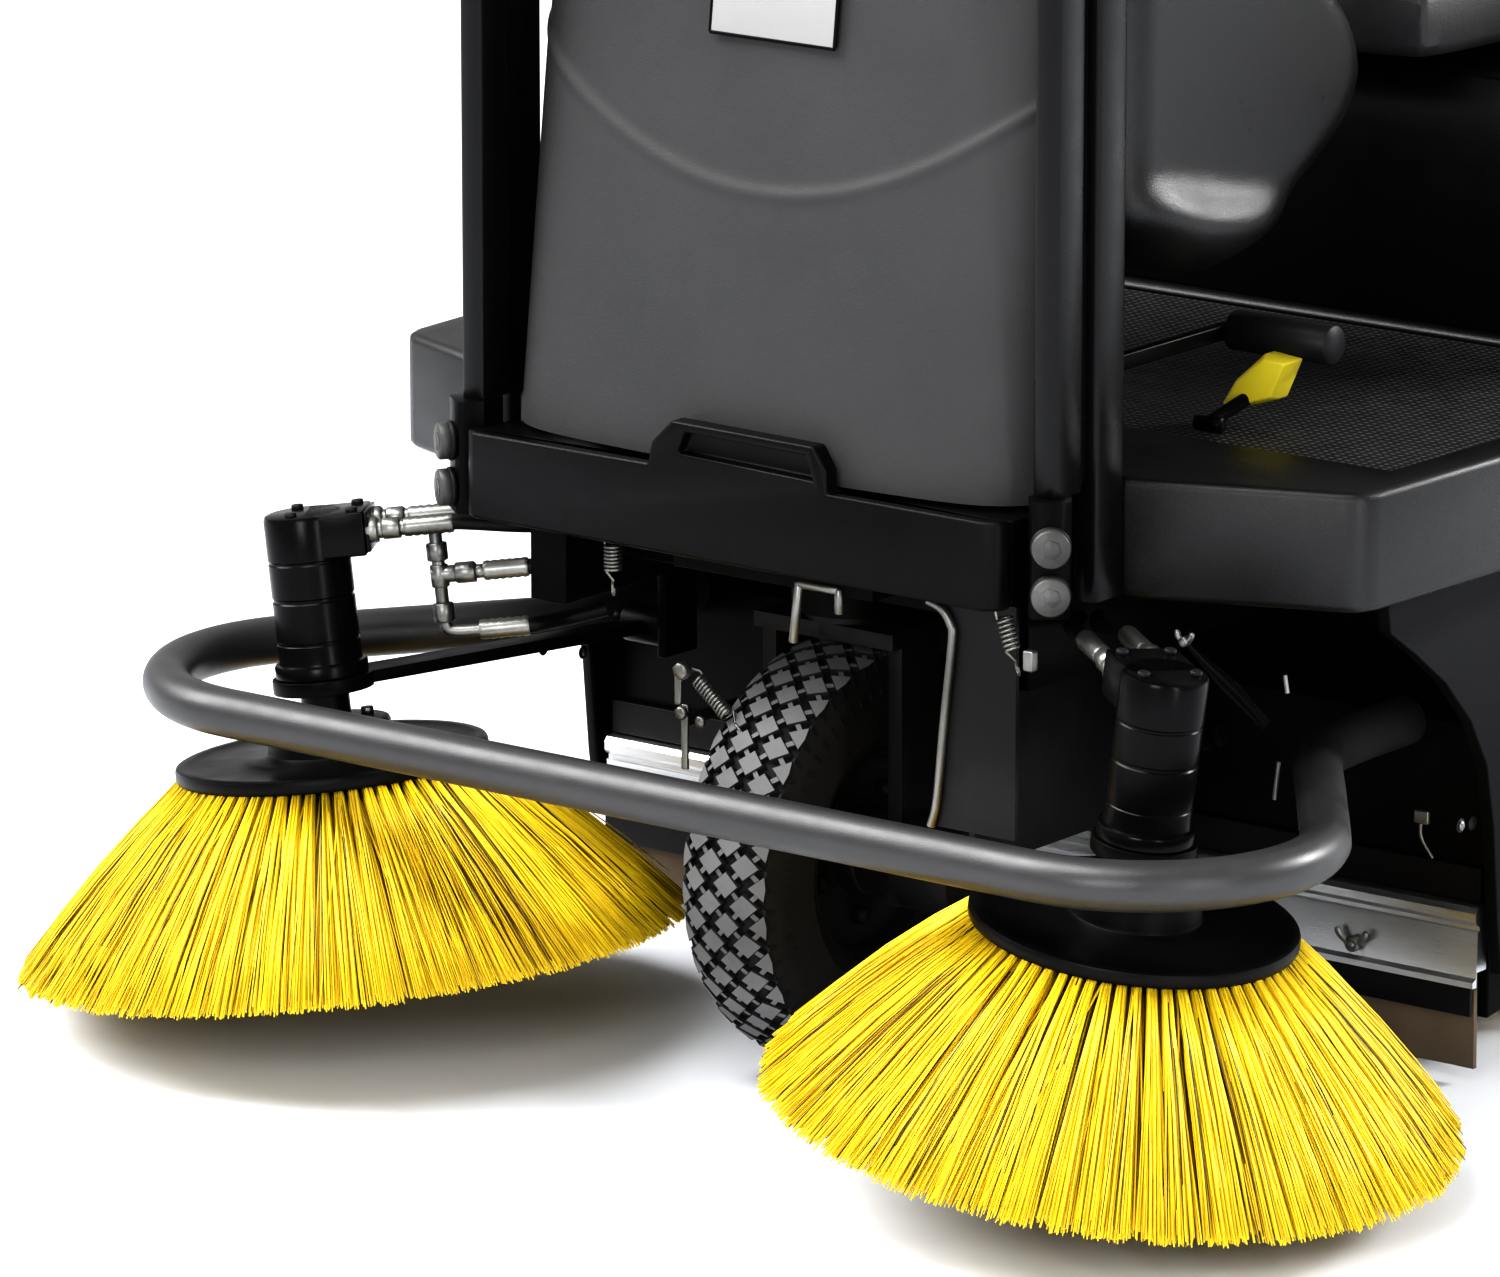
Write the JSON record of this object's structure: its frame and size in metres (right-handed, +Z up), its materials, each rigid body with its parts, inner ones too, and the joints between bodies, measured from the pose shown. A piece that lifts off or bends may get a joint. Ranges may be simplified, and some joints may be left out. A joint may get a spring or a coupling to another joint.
{
  "type": "ride on sweeper",
  "caption": "Ride-on sweeper with two side brushes, tube bumper loop, grey front cover, open footwell, guard roof, main roller and a hopper that lifts and tips at the rear.",
  "frame": {"origin": "centre of the bounding box's base, on the floor", "axes": "-Y is the driving direction, +X the driver's left, +Z up"},
  "size_m": [1.5748, 2.441, 2.078],
  "materials": {
    "frame": "satin anthracite powder coat",
    "moulding": "fine-grained black moulding",
    "cover": "fine-grained mid grey moulding",
    "bristle": "yellow polypropylene filaments",
    "yellow": "smooth yellow plastic",
    "tyre": "block tread rubber",
    "rubber": "dusty brown-grey rubber",
    "mat": "ribbed rubber",
    "zinc": "zinc plated",
    "aluminium": "drawn profile",
    "motor": "semi-gloss black paint",
    "iron": "grey machine paint",
    "vinyl": "black grained vinyl"
  },
  "bodies": {
    "chassis": {"steering_head": "frame", "rear_axle": "frame", "bumper_loop": "frame", "front_belt": "moulding", "roof_panel": "moulding", "guard_hoop_rear": "frame", "footboard": "moulding", "floor_mat": "mat", "front_cover": "cover", "column_cover": "moulding", "dashboard": "moulding", "roller_housing": "frame", "flap_bar": "aluminium", "front_flap": "rubber", "seat_console": "moulding", "engine": "iron", "hydraulic_tank": "frame", "fuel_tank": "moulding", "cheek_plate": "frame", "cover_plate": "aluminium", "rail_left": "frame", "rail_right": "frame", "guard_post_left": "frame", "guard_post_right": "frame", "post_foot_left": "frame", "post_foot_right": "frame", "side_panel_left": "moulding", "side_panel_right": "moulding"},
    "steering_fork": {"steering_fork": "iron"},
    "front_wheel": {"front_tyre": "tyre", "front_rim": "iron"},
    "steering_wheel": {"steering_wheel": "vinyl"},
    "brake_pedal": {"brake_pedal": "yellow"},
    "drive_pedal": {"drive_pedal": "mat"},
    "hopper_lever": {"hopper_lever": "yellow"},
    "roller_swing": {"roller_frame": "frame"},
    "main_roller": {"roller_core": "iron", "roller_bristles": "bristle"},
    "seat": {"seat_cushion": "vinyl"},
    "seat_back": {"seat_back": "vinyl"},
    "engine_hood": {"engine_hood": "cover"},
    "lift_arms": {"lift_arm_left": "frame", "lift_arm_right": "frame"},
    "hopper_yoke": {"hopper_yoke": "frame"},
    "hopper": {"hopper": "moulding"},
    "hopper_door": {"hopper_door": "frame"},
    "rear_wheel_left": {"rear_tyre_left": "tyre", "rear_rim_left": "iron"},
    "brush_arm_left": {"brush_arm_left": "frame", "brush_motor_left": "motor", "brush_fittings_left": "zinc"},
    "side_brush_left": {"brush_disc_left": "moulding", "brush_bristles_left": "bristle"},
    "rear_wheel_right": {"rear_tyre_right": "tyre", "rear_rim_right": "iron"},
    "brush_arm_right": {"brush_arm_right": "frame", "brush_motor_right": "motor", "brush_fittings_right": "zinc"},
    "side_brush_right": {"brush_disc_right": "moulding", "brush_bristles_right": "bristle"}
  },
  "joints": [
    {"name": "steer", "type": "hinge", "parent": "chassis", "child": "steering_fork", "pos_m": [0, -0.6845, 0.45], "axis": [0, 0, 1], "range_deg": [-36, 36]},
    {"name": "front_wheel_spin", "type": "hinge", "parent": "steering_fork", "child": "front_wheel", "pos_m": [0, -0.6845, 0.212], "axis": [1, 0, 0], "continuous": true},
    {"name": "steering_wheel_turn", "type": "hinge", "parent": "chassis", "child": "steering_wheel", "pos_m": [0, -0.2995, 1.2], "axis": [0, 0.5, 0.866], "range_deg": [-288, 288]},
    {"name": "brake_press", "type": "hinge", "parent": "chassis", "child": "brake_pedal", "pos_m": [0.307, -0.5235, 0.648], "axis": [1, 0, 0], "range_deg": [-8, 0], "stiffness_Nm_per_rad": 20, "springref_deg": 17.19},
    {"name": "drive_press", "type": "hinge", "parent": "chassis", "child": "drive_pedal", "pos_m": [-0.36, -0.5175, 0.648], "axis": [1, 0, 0], "range_deg": [-5, 12], "stiffness_Nm_per_rad": 60},
    {"name": "hopper_lever_tilt", "type": "hinge", "parent": "chassis", "child": "hopper_lever", "pos_m": [0.455, 0.1105, 0.907], "axis": [1, 0, 0], "range_deg": [-15, 15], "stiffness_Nm_per_rad": 6},
    {"name": "roller_lift", "type": "hinge", "parent": "chassis", "child": "roller_swing", "pos_m": [0, 0.0455, 0.3], "axis": [1, 0, 0], "range_deg": [-8, 0]},
    {"name": "main_roller_spin", "type": "hinge", "parent": "roller_swing", "child": "main_roller", "pos_m": [0, -0.1445, 0.152], "axis": [1, 0, 0], "continuous": true},
    {"name": "seat_slide", "type": "slide", "parent": "chassis", "child": "seat", "axis": [0, 1, 0], "range_m": [-0.08, 0.02]},
    {"name": "seat_recline", "type": "hinge", "parent": "seat", "child": "seat_back", "pos_m": [0, 0.4105, 1.02], "axis": [1, 0, 0], "range_deg": [-10, 5]},
    {"name": "hood_open", "type": "hinge", "parent": "chassis", "child": "engine_hood", "pos_m": [0, 0.7225, 1.035], "axis": [1, 0, 0], "range_deg": [-80, 0]},
    {"name": "hopper_lift", "type": "hinge", "parent": "chassis", "child": "lift_arms", "pos_m": [0, 0.2905, 0.845], "axis": [1, 0, 0], "range_deg": [0, 72]},
    {"name": "hopper_level", "type": "hinge", "parent": "lift_arms", "child": "hopper_yoke", "pos_m": [0, 0.85681, 0.43355], "axis": [1, 0, 0], "range_deg": [-72, 0]},
    {"name": "hopper_tilt", "type": "hinge", "parent": "hopper_yoke", "child": "hopper", "pos_m": [0, 1.1805, 0.3], "axis": [1, 0, 0], "range_deg": [-50, 0]},
    {"name": "hopper_door_swing", "type": "hinge", "parent": "hopper", "child": "hopper_door", "pos_m": [0, 1.2025, 0.616], "axis": [1, 0, 0], "range_deg": [0, 60]},
    {"name": "rear_wheel_spin_left", "type": "hinge", "parent": "chassis", "child": "rear_wheel_left", "pos_m": [0.478, 0.4505, 0.212], "axis": [1, 0, 0], "continuous": true},
    {"name": "brush_lower_left", "type": "hinge", "parent": "chassis", "child": "brush_arm_left", "pos_m": [0.332, -0.5795, 0.364], "axis": [1, 0, 0], "range_deg": [0, 5]},
    {"name": "brush_spin_left", "type": "hinge", "parent": "brush_arm_left", "child": "side_brush_left", "pos_m": [0.484, -0.8895, 0.266], "axis": [0.1323, 0, 0.9912], "continuous": true},
    {"name": "rear_wheel_spin_right", "type": "hinge", "parent": "chassis", "child": "rear_wheel_right", "pos_m": [-0.478, 0.4505, 0.212], "axis": [1, 0, 0], "continuous": true},
    {"name": "brush_lower_right", "type": "hinge", "parent": "chassis", "child": "brush_arm_right", "pos_m": [-0.332, -0.5795, 0.364], "axis": [1, 0, 0], "range_deg": [0, 5]},
    {"name": "brush_spin_right", "type": "hinge", "parent": "brush_arm_right", "child": "side_brush_right", "pos_m": [-0.484, -0.8895, 0.266], "axis": [-0.1323, 0, 0.9912], "continuous": true}
  ],
  "couplings": [
    {"joint": "steering_wheel_turn", "follows": "steer", "ratio": 8},
    {"joint": "hopper_level", "follows": "hopper_lift", "ratio": -1}
  ]
}
